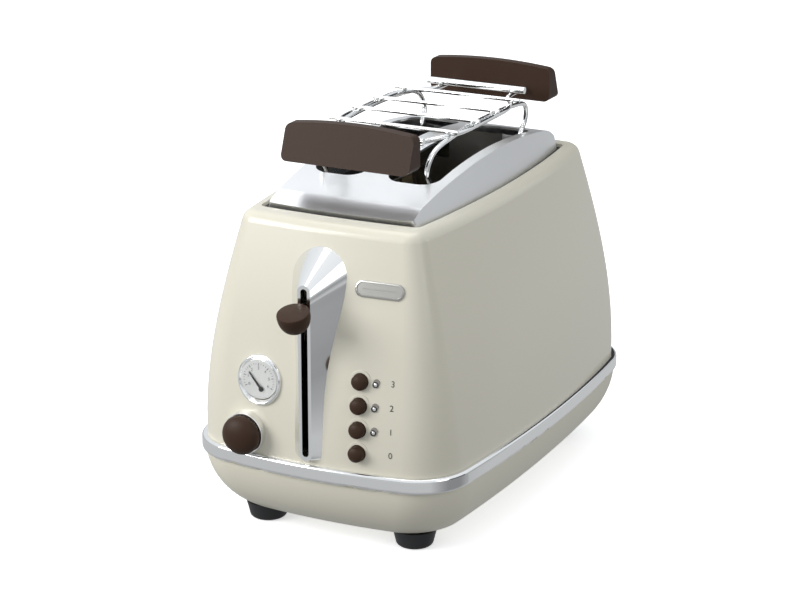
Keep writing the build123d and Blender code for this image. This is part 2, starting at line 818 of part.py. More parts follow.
pot_face = dial_face + 18
dome_back = dial_face - collar_proud - button_gap
with BuildPart() as browning_knob:
    with BuildSketch(Plane.YZ.offset(dial_knob_x)):
        with BuildLine():
            Polyline((dome_back - dome_depth, dial_knob_z), (pot_face + 4, dial_knob_z),
                     (pot_face + 4, dial_knob_z + shaft_radius), (dome_back, dial_knob_z + shaft_radius),
                     (dome_back, dial_knob_z + dial_knob_radius - 1),
                     (dome_back - 3, dial_knob_z + dial_knob_radius))
            Spline((dome_back - 3, dial_knob_z + dial_knob_radius),
                   (dome_back - dome_depth + 2, dial_knob_z + 7.4), (dome_back - dome_depth, dial_knob_z),
                   tangents=((-1, -0.25), (0, -1)))
        make_face()
    revolve(axis=Axis((dial_knob_x, 0, dial_knob_z), (0, 1, 0)))
keep("browning_knob", browning_knob)

with BuildPart() as potentiometer:
    with BuildSketch(Plane.XZ.offset(-pot_face)):
        with Locations((dial_knob_x, dial_knob_z)):
            Rectangle(20, 20)
            Circle(shaft_radius + running_clearance, mode=Mode.SUBTRACT)
    extrude(amount=-8)
    with BuildSketch(Plane.XZ.offset(-pot_face - 8)):
        with Locations((dial_knob_x, dial_knob_z)):
            Rectangle(20, 20)
        with Locations((dial_knob_x, floor_z)):
            Rectangle(12, dial_knob_z - floor_z, align=(Align.CENTER, Align.MIN))
    extrude(amount=-1.6)
keep("potentiometer", potentiometer)

# Plain badge that follows the face
with BuildPart() as badge:
    with BuildSketch(Plane.XZ.offset(-face_y(0, badge_z) + 40)):
        with Locations((badge_x, badge_z)):
            SlotOverall(badge_length, badge_width)
    extrude(amount=-80)
    add(outer_form.part.moved(Location((0, -badge_proud, 0))), mode=Mode.INTERSECT)
    add(outer_form.part, mode=Mode.SUBTRACT)
keep("badge", badge)

# Crumb tray: a shallow pan that slides out at the back by its grip
grip_y = rear_y - 6
with BuildPart() as crumb_tray:
    with BuildSketch(Plane.XY.offset(tray_z)):
        with Locations((0, tray_front_y)):
            Rectangle(2 * tray_half_x, grip_y - tray_front_y, align=(Align.CENTER, Align.MIN))
    extrude(amount=tray_rim)
    with BuildSketch(Plane.XY.offset(tray_z + tray_wall)):
        with Locations((0, tray_front_y + tray_wall)):
            Rectangle(2 * (tray_half_x - tray_wall), grip_y - tray_front_y - 14,
                      align=(Align.CENTER, Align.MIN))
    extrude(amount=tray_rim, mode=Mode.SUBTRACT)
keep("crumb_tray", crumb_tray)

# Cord gland and base screws
with BuildPart() as cord_gland:
    with BuildSketch(Plane.XZ.offset(-base_half_y + 2)):
        with Locations((gland_x, gland_z)):
            Circle(gland_collar)
            Circle(gland_radius - 1.6, mode=Mode.SUBTRACT)
    extrude(amount=14)
    add(bowl_form.part, mode=Mode.SUBTRACT)
    with BuildSketch(Plane.XZ.offset(-base_half_y + 2)):
        with Locations((gland_x, gland_z)):
            Circle(gland_radius)
            Circle(gland_radius - 1.6, mode=Mode.SUBTRACT)
    extrude(amount=18)
keep("cord_gland", cord_gland)

with BuildPart() as base_screws:
    with BuildSketch(Plane.XY.offset(foot_height)):
        with GridLocations(screw_pitch_x, screw_pitch_y, 2, 2):
            Circle(screw_radius)
    extrude(amount=-screw_head)
    with BuildSketch(Plane.XY.offset(foot_height - screw_head)):
        with GridLocations(screw_pitch_x, screw_pitch_y, 2, 2):
            Rectangle(4.4, 0.9)
            Rectangle(0.9, 4.4)
    extrude(amount=0.8, mode=Mode.SUBTRACT)
keep("base_screws", base_screws)


def wire(path, radius):
    """A round wire along a path."""
    with BuildPart() as rod:
        with BuildSketch(Plane(origin=path @ 0, z_dir=path % 0)):
            Circle(radius)
        sweep(path=path)
    return rod.part


def rail_path(side):
    """One long rail: straight beside the toast, drawn in to the handles at its ends."""
    handle_end = handle_inner_y + 4
    low = rail_z - rail_end_drop
    with BuildLine() as path:
        Line((side * rail_end_x, rack_y - handle_end, low), (side * rail_end_x, rack_y - end_rod_y - 4, low))
        Spline((side * rail_end_x, rack_y - end_rod_y - 4, low),
               (side * 37, rack_y - cross_outer_y, rail_z),
               (side * rail_x, rack_y - 20, rail_z), tangents=((0, 1, 0), (0, 1, 0)))
        Line((side * rail_x, rack_y - 20, rail_z), (side * rail_x, rack_y + 20, rail_z))
        Spline((side * rail_x, rack_y + 20, rail_z),
               (side * 37, rack_y + cross_outer_y, rail_z),
               (side * rail_end_x, rack_y + end_rod_y + 4, low), tangents=((0, 1, 0), (0, 1, 0)))
        Line((side * rail_end_x, rack_y + end_rod_y + 4, low), (side * rail_end_x, rack_y + handle_end, low))
    return path.line


def leg_path(side):
    """One hoop: up from its foot in the bread slot, along under the rail, and down again."""
    foot_z = foot_rest_z + foot_rest_gap + 0.4
    rising = [(34.5, leg_foot_y, foot_z), (34.5, leg_foot_y + 0.8, foot_z + 3), (35.0, leg_bulge_y, 214.0), (36.5, leg_bulge_y - 1, 223.0),
              (leg_crown_x, 50.0, 230.5), (leg_crown_x, 24.0, rail_z)]
    points = [(side * x, rack_y - y, z) for x, y, z in rising]
    points += [(side * x, rack_y + y, z) for x, y, z in reversed(rising)]
    with BuildLine() as path:
        Spline(*points)
    return path.line


with BuildPart() as rack_rails:
    for side in (-1, 1):
        add(wire(rail_path(side), rack_wire))
keep("rack_rails", rack_rails)

with BuildPart() as rack_legs:
    for side in (-1, 1):
        add(wire(leg_path(side), rack_wire))
keep("rack_legs", rack_legs)

with BuildPart() as rack_cross_wires:
    with BuildSketch(Plane.YZ.offset(-cross_half_x)):
        height = rail_z + rack_wire + cross_wire - weld_sink
        for y in (-cross_outer_y, -cross_inner_y, cross_inner_y, cross_outer_y):
            with Locations((rack_y + y, height)):
                Circle(cross_wire)
    extrude(amount=2 * cross_half_x)
keep("rack_cross_wires", rack_cross_wires)

with BuildPart() as rack_end_rods:
    with BuildSketch(Plane.YZ.offset(-end_rod_half_x)):
        height = rail_z - rail_end_drop + rack_wire + end_rod - weld_sink
        with Locations((rack_y - end_rod_y, height), (rack_y + end_rod_y, height)):
            Circle(end_rod)
    extrude(amount=2 * end_rod_half_x)
keep("rack_end_rods", rack_end_rods)


def rack_handle(sense):
    """Moulded grip, wedge-shaped in side view, with a slightly arched top."""
    inner = rack_y + sense * handle_inner_y
    with BuildPart() as handle:
        with BuildSketch(Plane.YZ.offset(-handle_half_x)):
            with BuildLine():
                Polyline((inner, handle_low_z), (inner + sense * handle_bottom_thickness, handle_low_z),
                         (inner + sense * handle_top_thickness, handle_high_z + handle_camber),
                         (inner, handle_high_z + handle_camber), (inner, handle_low_z))
            make_face()
        extrude(amount=2 * handle_half_x)
        with BuildSketch(Plane.XZ.offset(-inner)):
            with BuildLine():
                Polyline((-handle_half_x, handle_high_z), (-handle_half_x, handle_low_z),
                         (handle_half_x, handle_low_z), (handle_half_x, handle_high_z))
                ThreePointArc((handle_half_x, handle_high_z), (0, handle_high_z + handle_camber),
                              (-handle_half_x, handle_high_z))
            outline = make_face()
            fillet(outline.vertices(), 4)
        extrude(amount=30, both=True, mode=Mode.INTERSECT)
        add(rack_rails.part, mode=Mode.SUBTRACT)
    return handle


keep("rack_handle_front", rack_handle(-1))
keep("rack_handle_rear", rack_handle(1))

for name, piece in pieces.items():
    piece.locate(Location((0, housing_y, 0)))
    export_step(piece, f"parts/{name}.step")
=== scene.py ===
"""Two-slice toaster with a bun-warming rack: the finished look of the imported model.

Metres, +Z up, lever end towards -Y.
"""

from math import cos, pi, radians, sin

import bpy
from mathutils import Matrix, Vector


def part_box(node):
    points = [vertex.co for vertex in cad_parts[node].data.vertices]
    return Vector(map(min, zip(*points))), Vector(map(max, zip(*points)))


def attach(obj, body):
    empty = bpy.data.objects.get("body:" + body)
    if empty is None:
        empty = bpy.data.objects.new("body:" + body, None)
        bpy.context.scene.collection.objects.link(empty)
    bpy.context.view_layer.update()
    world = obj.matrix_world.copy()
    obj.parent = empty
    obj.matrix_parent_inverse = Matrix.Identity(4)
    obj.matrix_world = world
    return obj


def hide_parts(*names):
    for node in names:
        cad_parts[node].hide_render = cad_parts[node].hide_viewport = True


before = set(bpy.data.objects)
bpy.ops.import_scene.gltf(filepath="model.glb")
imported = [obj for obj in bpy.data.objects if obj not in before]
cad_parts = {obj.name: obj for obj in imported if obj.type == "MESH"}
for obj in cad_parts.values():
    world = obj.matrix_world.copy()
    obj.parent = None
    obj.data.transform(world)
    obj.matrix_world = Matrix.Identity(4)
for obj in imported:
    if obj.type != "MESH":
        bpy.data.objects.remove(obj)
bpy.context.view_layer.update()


# Steel shell. One deep pressing in mild steel, stove-enamelled in warm cream. The enamel is
# smooth and glossy, with the faint orange peel of a sprayed and fired coat.
def linear(shade):
    """An sRGB hex colour as linear red, green, blue and alpha."""
    channels = [int(shade[i:i + 2], 16) / 255 for i in (1, 3, 5)]
    return [c / 12.92 if c <= 0.04045 else ((c + 0.055) / 1.055) ** 2.4 for c in channels] + [1.0]


def add_node(material, kind, settings=(), **links):
    """Adds a shader node, with its settings and with sockets as values or links."""
    node = material.node_tree.nodes.new(kind)
    for name, value in dict(settings).items():
        setattr(node, name, value)
    for name, value in links.items():
        socket = node.inputs[name.replace("_", " ")]
        if isinstance(value, bpy.types.NodeSocket):
            material.node_tree.links.new(value, socket)
        else:
            socket.default_value = value
    return node


def start_material(name):
    """An empty node material and its output."""
    material = bpy.data.materials.new(name)
    material.use_nodes = True
    material.node_tree.nodes.clear()
    return material, material.node_tree.nodes.new("ShaderNodeOutputMaterial")


def dress(material, *names):
    """Gives every face of these pieces the one finish."""
    for name in names:
        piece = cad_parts[name]
        for place in piece.material_slots:
            place.material = material


enamel, enamel_out = start_material("stove enamel, cream")
enamel_place = add_node(enamel, "ShaderNodeTexCoord")
# Orange peel about 2.5 mm across
enamel_peel = add_node(enamel, "ShaderNodeTexNoise", Vector=enamel_place.outputs["Object"],
                       Scale=400.0, Detail=1.0)
enamel_bump = add_node(enamel, "ShaderNodeBump", Height=enamel_peel.outputs[0], Strength=0.015, Distance=0.001)
enamel_face = add_node(enamel, "ShaderNodeBsdfPrincipled", Base_Color=linear("#D8D3C2"), Roughness=0.34,
                       Coat_Weight=0.35, Coat_Roughness=0.12, Normal=enamel_bump.outputs[0])
enamel.node_tree.links.new(enamel_face.outputs[0], enamel_out.inputs[0])
dress(enamel, "body_shell")

# Lower housing. Injection-moulded ABS in the enamel's colour, screwed under the shell. A little
# less glossy than the enamel, with a fine even grain.
moulding, moulding_out = start_material("moulded ABS, cream")
moulding_place = add_node(moulding, "ShaderNodeTexCoord")
# Grain of 0.6 mm
moulding_grain = add_node(moulding, "ShaderNodeTexNoise", Vector=moulding_place.outputs["Object"],
                          Scale=1600.0, Detail=2.0)
moulding_bump = add_node(moulding, "ShaderNodeBump", Height=moulding_grain.outputs[0], Strength=0.03,
                         Distance=0.0005)
moulding_face = add_node(moulding, "ShaderNodeBsdfPrincipled", Base_Color=linear("#D8D3C2"), Roughness=0.42,
                         Normal=moulding_bump.outputs[0])
moulding.node_tree.links.new(moulding_face.outputs[0], moulding_out.inputs[0])
dress(moulding, "lower_housing")

# Chromed trim. The seam band, lever bezel, gauge bezel and knob collar are polished and plated,
# bright and almost without grain.
plating, plating_out = start_material("polished chrome plating")
plating_face = add_node(plating, "ShaderNodeBsdfPrincipled", Base_Color=linear("#ECECEB"), Metallic=1.0,
                        Roughness=0.1)
plating.node_tree.links.new(plating_face.outputs[0], plating_out.inputs[0])
dress(plating, "trim_band", "lever_bezel", "gauge_bezel", "knob_collar")

# Warming rack. Steel wires, spot-welded and then chromed: two long rails, cross wires on them,
# thick end rods, and two hoops that stand in the bread slots.
dress(plating, "rack_rails", "rack_legs", "rack_cross_wires", "rack_end_rods")

# Cover over the toasting chambers. A chromed steel pressing, polished along its length, so its
# reflections are a little drawn out along Y.
cover_chrome, cover_chrome_out = start_material("chromed steel, polished lengthwise")
cover_place = add_node(cover_chrome, "ShaderNodeTexCoord")
cover_stretch = add_node(cover_chrome, "ShaderNodeMapping", Vector=cover_place.outputs["Object"],
                         Scale=(1.0, 0.04, 1.0))
# Polishing lines 0.5 mm apart
cover_lines = add_node(cover_chrome, "ShaderNodeTexNoise", Vector=cover_stretch.outputs[0], Scale=2000.0,
                       Detail=1.0)
cover_bump = add_node(cover_chrome, "ShaderNodeBump", Height=cover_lines.outputs[0], Strength=0.02,
                      Distance=0.0003)
cover_face = add_node(cover_chrome, "ShaderNodeBsdfPrincipled", Base_Color=linear("#F6F6F6"), Metallic=1.0,
                      Roughness=0.3, Normal=cover_bump.outputs[0])
cover_chrome.node_tree.links.new(cover_face.outputs[0], cover_chrome_out.inputs[0])
dress(cover_chrome, "top_cover")

# Chassis. Plain steel sheet and wire that have seen heat: end plates, liners, guides, carriage
# and lifters, greyer and duller than the trim.
sheet_steel, sheet_steel_out = start_material("bright steel sheet")
sheet_place = add_node(sheet_steel, "ShaderNodeTexCoord")
# Rolling streaks about 4 mm apart
sheet_streaks = add_node(sheet_steel, "ShaderNodeTexNoise", Vector=sheet_place.outputs["Object"], Scale=250.0,
                         Detail=3.0)
sheet_range = add_node(sheet_steel, "ShaderNodeMapRange", Value=sheet_streaks.outputs[0], To_Min=0.3,
                       To_Max=0.45)
sheet_face = add_node(sheet_steel, "ShaderNodeBsdfPrincipled", Base_Color=linear("#8E8C88"), Metallic=1.0,
                      Roughness=sheet_range.outputs[0])
sheet_steel.node_tree.links.new(sheet_face.outputs[0], sheet_steel_out.inputs[0])
dress(sheet_steel, "front_plate", "rear_plate", "side_liners", "guide_pin", "pin_bracket", "return_spring",
      "lever_carriage", "bread_lifter_left", "bread_lifter_right", "guide_left_outer", "guide_left_inner",
      "guide_right_inner", "guide_right_outer", "crumb_tray", "base_screws")

# Heaters. Sheets of mica with nickel-chromium ribbon laid across them, clamped beside each slot
# and seen deep in it.
mica, mica_out = start_material("mica sheet")
mica_place = add_node(mica, "ShaderNodeTexCoord")
# Flakes of about 5 mm
mica_flakes = add_node(mica, "ShaderNodeTexVoronoi", Vector=mica_place.outputs["Object"], Scale=200.0)
mica_tint = add_node(mica, "ShaderNodeMixRGB", Fac=mica_flakes.outputs["Distance"], Color1=linear("#8A7A5C"),
                     Color2=linear("#A59677"))
mica_face = add_node(mica, "ShaderNodeBsdfPrincipled", Base_Color=mica_tint.outputs[0], Roughness=0.4)
mica.node_tree.links.new(mica_face.outputs[0], mica_out.inputs[0])
dress(mica, "heater_boards")

ribbon, ribbon_out = start_material("nickel-chromium ribbon")
ribbon_face = add_node(ribbon, "ShaderNodeBsdfPrincipled", Base_Color=linear("#6E6A64"), Metallic=1.0,
                       Roughness=0.45)
ribbon.node_tree.links.new(ribbon_face.outputs[0], ribbon_out.inputs[0])
dress(ribbon, "heater_ribbons")

# Black mouldings. The carrier ring round the cover, cord gland, potentiometer and magnet are
# glass-filled nylon, matt and slightly grainy.
nylon, nylon_out = start_material("glass-filled nylon, black")
nylon_place = add_node(nylon, "ShaderNodeTexCoord")
# Grain of 0.8 mm
nylon_grain = add_node(nylon, "ShaderNodeTexNoise", Vector=nylon_place.outputs["Object"], Scale=1200.0)
nylon_bump = add_node(nylon, "ShaderNodeBump", Height=nylon_grain.outputs[0], Strength=0.08, Distance=0.0005)
nylon_face = add_node(nylon, "ShaderNodeBsdfPrincipled", Base_Color=linear("#141414"), Roughness=0.6,
                      Normal=nylon_bump.outputs[0])
nylon.node_tree.links.new(nylon_face.outputs[0], nylon_out.inputs[0])
dress(nylon, "cover_seat", "cord_gland", "potentiometer", "holding_magnet")

# Feet. Four moulded rubber buffers under the lower housing, black and matt, so they show only
# broad, weak highlights.
rubber, rubber_out = start_material("moulded rubber, black")
rubber_face = add_node(rubber, "ShaderNodeBsdfPrincipled", Base_Color=linear("#1B1B1C"), Roughness=0.55)
rubber.node_tree.links.new(rubber_face.outputs[0], rubber_out.inputs[0])
dress(rubber, "rubber_feet")

# Knobs, buttons and rack handles. Phenolic mouldings in chocolate brown, satin from the mould,
# with a fine leathery grain.
phenolic, phenolic_out = start_material("satin phenolic, chocolate brown")
phenolic_place = add_node(phenolic, "ShaderNodeTexCoord")
# Grain of 0.7 mm
phenolic_grain = add_node(phenolic, "ShaderNodeTexNoise", Vector=phenolic_place.outputs["Object"],
                          Scale=1400.0, Detail=2.0)
phenolic_bump = add_node(phenolic, "ShaderNodeBump", Height=phenolic_grain.outputs[0], Strength=0.12,
                         Distance=0.0005)
phenolic_face = add_node(phenolic, "ShaderNodeBsdfPrincipled", Base_Color=linear("#38261A"), Roughness=0.5,
                         Specular_IOR_Level=0.2,
                         Normal=phenolic_bump.outputs[0])
phenolic.node_tree.links.new(phenolic_face.outputs[0], phenolic_out.inputs[0])
dress(phenolic, "lever_knob", "browning_knob", "button_bottom", "button_lower", "button_upper", "button_top",
      "rack_handle_front", "rack_handle_rear")

# Indicator lamps. Small light pipes moulded in clear acrylic, behind the holes beside the
# buttons. They are dark while the toaster is off.
acrylic, acrylic_out = start_material("acrylic light pipe, unlit")
acrylic_face = add_node(acrylic, "ShaderNodeBsdfPrincipled", Base_Color=linear("#8C8780"), Roughness=0.15)
acrylic.node_tree.links.new(acrylic_face.outputs[0], acrylic_out.inputs[0])
dress(acrylic, "indicator_lamps")

# Circuit board. Green glass-epoxy laminate with the four button switches on it, hidden behind
# the front.
laminate, laminate_out = start_material("glass-epoxy laminate, green")
laminate_face = add_node(laminate, "ShaderNodeBsdfPrincipled", Base_Color=linear("#1F4A2B"), Roughness=0.4)
laminate.node_tree.links.new(laminate_face.outputs[0], laminate_out.inputs[0])
dress(laminate, "circuit_board")

# Gauge. A pale printed dial with an arc of ticks and plain numbers, a dark needle, and a window
# of clear acrylic under the chromed bezel.
dial_paint, dial_paint_out = start_material("printed dial, white")
dial_face = add_node(dial_paint, "ShaderNodeBsdfPrincipled", Base_Color=linear("#C4C4C1"), Roughness=0.4)
dial_paint.node_tree.links.new(dial_face.outputs[0], dial_paint_out.inputs[0])
dress(dial_paint, "gauge_dial")

ink, ink_out = start_material("screen-print ink, dark grey")
ink_face = add_node(ink, "ShaderNodeBsdfPrincipled", Base_Color=linear("#2A2725"), Roughness=0.55)
ink.node_tree.links.new(ink_face.outputs[0], ink_out.inputs[0])
dress(ink, "gauge_needle")

clear_acrylic, clear_acrylic_out = start_material("clear acrylic window")
clear_face = add_node(clear_acrylic, "ShaderNodeBsdfPrincipled", Base_Color=linear("#FFFFFF"), Roughness=0.03,
                      Transmission_Weight=1.0, IOR=1.2, Alpha=0.3)
clear_acrylic.node_tree.links.new(clear_face.outputs[0], clear_acrylic_out.inputs[0])
dress(clear_acrylic, "gauge_glass")

dial_low, dial_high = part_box("gauge_dial")
dial_centre = (Vector(dial_low) + Vector(dial_high)) / 2
dial_front = dial_low[1]
# The scale runs this many degrees each way from the top
scale_half = 118


def flat_mesh(name, corners, faces, material):
    """A mesh piece with one finish."""
    mesh = bpy.data.meshes.new(name)
    mesh.from_pydata(corners, [], faces)
    piece = bpy.data.objects.new(name, mesh)
    bpy.context.scene.collection.objects.link(piece)
    mesh.materials.append(material)
    return piece


tick_corners = []
tick_faces = []
tick_spaces = 24
tick_outer = 0.0103
for step in range(tick_spaces + 1):
    turn = radians(-scale_half + step * 2 * scale_half / tick_spaces)
    # Every fourth tick is longer and thicker
    inner, half = (0.0087, 0.00022) if step % 4 == 0 else (0.0094, 0.00013)
    along = Vector((sin(turn), 0, cos(turn)))
    across = Vector((cos(turn), 0, -sin(turn)))
    base = len(tick_corners)
    middle = Vector((dial_centre.x, dial_front - 0.00006, dial_centre.z))
    for reach, side in ((inner, -1), (tick_outer, -1), (tick_outer, 1), (inner, 1)):
        tick_corners.append(middle + along * reach + across * side * half)
    tick_faces.append((base, base + 1, base + 2, base + 3))
dial_ticks = flat_mesh("dial_ticks", tick_corners, tick_faces, ink)
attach(dial_ticks, "housing")


def printed(name, text, height, place, normal):
    """A small printed numeral that lies on a face, readable from outside."""
    curve = bpy.data.curves.new(name, "FONT")
    curve.body = text
    curve.size = height
    curve.align_x = "CENTER"
    curve.align_y = "CENTER"
    curve.extrude = 0.00002
    curve.materials.append(ink)
    numeral = bpy.data.objects.new(name, curve)
    outward = Vector(normal).normalized()
    right = Vector((0, 0, 1)).cross(outward).normalized()
    up = outward.cross(right)
    stance = Matrix((right, up, outward)).transposed().to_4x4()
    stance.translation = Vector(place) + outward * 0.00008
    numeral.matrix_world = stance
    bpy.context.scene.collection.objects.link(numeral)
    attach(numeral, "housing")


number_radius = 0.0071
for step in range(7):
    turn = radians(-scale_half + step * 2 * scale_half / 6)
    printed(f"dial_number_{step}", str(step), 0.0026,
            (dial_centre.x + sin(turn) * number_radius, dial_front, dial_centre.z + cos(turn) * number_radius),
            (0, -1, 0))

# Lever bezel. A zinc casting, polished and chromed: a slotted nose that stands well clear of the
# face, with flat flanks that sweep back and widen into a domed head.
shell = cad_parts["body_shell"]
housing_middle = 0.01155


def on_shell(x, z):
    """The point and the outward normal of the shell's front at x and z."""
    place, normal = shell.ray_cast(Vector((x, -0.3, z)), Vector((0, 1, 0)))[1:3]
    return place, (normal if normal.y < 0 else -normal)


def ringed_mesh(name, rings, material, crease):
    """A surface through rings of as many points, smooth except over edges sharper than crease."""
    count = len(rings[0])
    corners = [corner for ring in rings for corner in ring]
    faces = []
    for level in range(len(rings) - 1):
        for step in range(count):
            after = (step + 1) % count
            faces.append((level * count + step, level * count + after,
                          (level + 1) * count + after, (level + 1) * count + step))
    piece = flat_mesh(name, corners, faces, material)
    for face in piece.data.polygons:
        face.use_smooth = True
    piece.data.set_sharp_from_angle(angle=radians(crease))
    return piece


def half_width(stops, height):
    """The half width at a height, in straight lines between stops of (height, half width)."""
    for (low, narrow), (high, wide) in zip(stops, stops[1:]):
        if height <= high:
            return narrow + (wide - narrow) * (height - low) / (high - low)
    return stops[-1][1]


nose_front = -0.148 + housing_middle
nose_half, nose_low, nose_high = 0.0041, 0.063, 0.162
slot_half, slot_low, slot_high = 0.0021, 0.0636, 0.1619
head_centre, head_radius = 0.1652, 0.0179
foot_low, foot_rise = 0.0625, 0.1115
flank_stops = ((0.060, 0.0090), (0.070, 0.0094), (0.096, 0.0096), (0.113, 0.0104), (0.126, 0.0122),
               (0.135, 0.0139), (0.145, 0.0158), (0.155, 0.0173), (0.165, 0.0179))


def bezel_rings():
    """Slot edge inside, slot edge, nose edge and foot on the face, as four rings."""
    inner, edge, nose, foot = [], [], [], []
    slot_depth, foot_lift = 0.012, 0.0003

    def add_point(slot_xz, nose_xz, foot_xz):
        inner.append((slot_xz[0], nose_front + slot_depth, slot_xz[1]))
        edge.append((slot_xz[0], nose_front, slot_xz[1]))
        nose.append((nose_xz[0], nose_front, nose_xz[1]))
        place = on_shell(*foot_xz)[0]
        foot.append((foot_xz[0], place.y + foot_lift, foot_xz[1]))

    flank_steps, head_steps, bottom_steps = 40, 24, 16
    for side in (1, -1):
        heights = [foot_low + foot_rise * step / flank_steps for step in range(flank_steps + 1)]
        if side < 0:
            # Over the head, from right to left
            for step in range(1, head_steps):
                turn = radians(30 + 120 * step / head_steps)
                swing = radians(180 * step / head_steps)
                add_point((cos(swing) * slot_half, slot_high + sin(swing) * slot_half),
                          (cos(swing) * nose_half, nose_high + sin(swing) * nose_half),
                          (cos(turn) * head_radius, head_centre + sin(turn) * head_radius))
            heights.reverse()
        for height in heights:
            share = (height - heights[0]) / (heights[-1] - heights[0])
            share = share if side > 0 else 1 - share
            if height <= head_centre:
                half = half_width(flank_stops, height)
            else:
                half = (head_radius**2 - (height - head_centre)**2)**0.5
            add_point((side * slot_half, slot_low + (slot_high - slot_low) * share),
                      (side * nose_half, nose_low + (nose_high - nose_low) * share),
                      (side * half, height))
    # Round the bottom, from left to right
    for step in range(1, bottom_steps):
        turn = radians(180 + 180 * step / bottom_steps)
        add_point((cos(turn) * slot_half, slot_low + sin(turn) * slot_half),
                  (cos(turn) * nose_half, nose_low + sin(turn) * nose_half),
                  (cos(turn) * 0.0091, foot_low + sin(turn) * 0.0045))
    return inner, edge, nose, foot


bezel = ringed_mesh("bezel", bezel_rings(), plating, crease=22)
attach(bezel, "housing")
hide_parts("lever_bezel")


# Lever knob. A phenolic moulding like a shallow bowl with a flat top, pushed on the carriage's
# arm. It leans forward, so its top faces the hand.
def turned(name, profile, place, axis, material, body, slot_name, *hidden, crease=40):
    """A piece turned round an axis, from (radius, distance along the axis) in millimetres."""
    axis = Vector(axis).normalized()
    across = axis.cross(Vector((1, 0, 0))).normalized()
    other = axis.cross(across)
    rings = []
    for radius, along in profile:
        ring = []
        for step in range(72):
            turn = 2 * pi * step / 72
            ring.append(Vector(place) + axis * along * 0.001
                        + (across * cos(turn) + other * sin(turn)) * radius * 0.001)
        rings.append(ring)
    piece = ringed_mesh(name, rings, material, crease=crease)
    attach(piece, body)
    if hidden:
        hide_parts(*hidden)


bowl_turn = [radians(step * 9) for step in range(11)]
bowl_lean = radians(18)
bowl_profile = [(0.01, 6.9), (8.9, 6.75), (9.5, 6.4), (9.75, 5.6)]
bowl_profile += [(9.75 * cos(turn)**0.75 + 0.01, 4.6 - 11.0 * sin(turn)) for turn in bowl_turn]
turned("lever_cap", bowl_profile, (0, -0.1588 + housing_middle, 0.1474),
       (0, -sin(bowl_lean), cos(bowl_lean)), phenolic, "carriage", "brown_plastic", "lever_knob")

# Buttons. Four domed caps, moulded in the same phenolic, that slide in cream bushes. The bushes
# are set in the shell's holes.
buttons = ("button_bottom", "button_lower", "button_upper", "button_top")
button_bodies = ("bottom_button", "lower_button", "upper_button", "top_button")
button_x = 0.0322
# Cap's place across, and how far it sits below and in front of the solid button
cap_x, cap_drop, cap_proud = 0.0315, 0.0007, 0.0014
cap_radius = 4.75
for row, name in enumerate(buttons):
    low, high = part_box(name)
    height = (low[2] + high[2]) / 2
    base = on_shell(button_x, height + 0.0075)[0].y
    dome = [(0.01, 4.8)] + [(cap_radius * sin(radians(turn)), 2.2 + 2.6 * cos(radians(turn)))
                            for turn in range(10, 91, 10)]
    dome += [(cap_radius, -4.6), (0.01, -4.6)]
    turned(name + "_cap", dome, (cap_x, base - cap_proud, height - cap_drop), (0, -1, 0), phenolic,
           button_bodies[row], "brown_plastic", name)
    # Middle of the bush, from two points of the face
    above = on_shell(cap_x, height + 0.0068)[0]
    below, normal = on_shell(cap_x, height - 0.0082)
    bush = [(6.75, -0.5), (6.75, 0.06), (6.6, 0.12), (5.1, 0.12), (5.0, 0.0), (5.0, -0.5)]
    turned(f"button_bush_{row}", bush, (above + below) / 2, normal, enamel, "housing", "cream_enamel")

# Browning knob. A deep phenolic dome with a hollow skirt and a long shaft. It turns on a chromed
# drum that stands still.
dial_knob_x, dial_knob_z = -0.0418, 0.0688
knob_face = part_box("knob_collar")[0][1] + 0.002
drum = [(11.4, 6.0), (12.3, 6.0), (12.6, 5.7), (12.6, 0.6), (13.0, -3.0)]
turned("knob_drum", drum, (dial_knob_x, knob_face, dial_knob_z), (0, -1, 0), plating, "housing",
       "chrome_trim", "knob_collar")
knob_dome = [(0.01, 15.6)]
knob_dome += [(11.9 * sin(radians(turn))**0.95, 8.6 + 7.0 * cos(radians(turn))) for turn in range(8, 97, 8)]
knob_dome += [(11.6, 7.0), (11.0, 6.4), (3.0, 6.4), (3.0, -14.0), (0.01, -14.0)]
turned("browning_cap", knob_dome, (dial_knob_x, knob_face, dial_knob_z), (0, -1, 0), phenolic,
       "browning_control", "brown_plastic", "browning_knob")

# Lamp trims. A dark ring round a bright eye, pressed in over the light pipe beside each button
# but the lowest.
for row, name in enumerate(buttons[1:]):
    low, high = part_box(name)
    height = (low[2] + high[2]) / 2 - 0.0014
    beside = on_shell(0.0447, height)[0]
    before, normal = on_shell(0.0385, height)
    lamp_place = (beside + before) / 2 - Vector((0.0006, 0, 0))
    turned(f"lamp_ring_{row}", [(1.15, 0.5), (1.25, 0.9), (1.75, 0.9), (1.9, -0.4)], lamp_place, normal, ink,
           "housing", "needle")
    turned(f"lamp_eye_{row}", [(0.01, 0.8), (0.7, 0.75), (1.2, 0.5)], lamp_place, normal, plating, "housing",
           "chrome_trim")

# Gauge bezel. A shallow chromed ring that follows the face and rolls down to the dial, pressed
# from sheet and snapped into the shell.
gauge_x, gauge_z = -0.0345, 0.1012
gauge_radius = 0.0152
gauge_rings = []
# Radius of each ring and how far it stands proud; the last one goes down to the dial
for radius, proud in ((gauge_radius, -0.0004), (0.0150, 0.0010), (0.0144, 0.0018), (0.0136, 0.0020),
                      (0.0130, 0.0014), (0.0121, None)):
    ring = []
    for step in range(96):
        turn = 2 * pi * step / 96
        face_y = on_shell(gauge_x + gauge_radius * cos(turn), gauge_z + gauge_radius * sin(turn))[0].y
        depth = dial_front + 0.0002 if proud is None else face_y - proud
        ring.append((gauge_x + radius * cos(turn), depth, gauge_z + radius * sin(turn)))
    gauge_rings.append(ring)
gauge_ring = ringed_mesh("gauge_ring", gauge_rings, plating, crease=60)
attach(gauge_ring, "housing")
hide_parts("gauge_bezel")

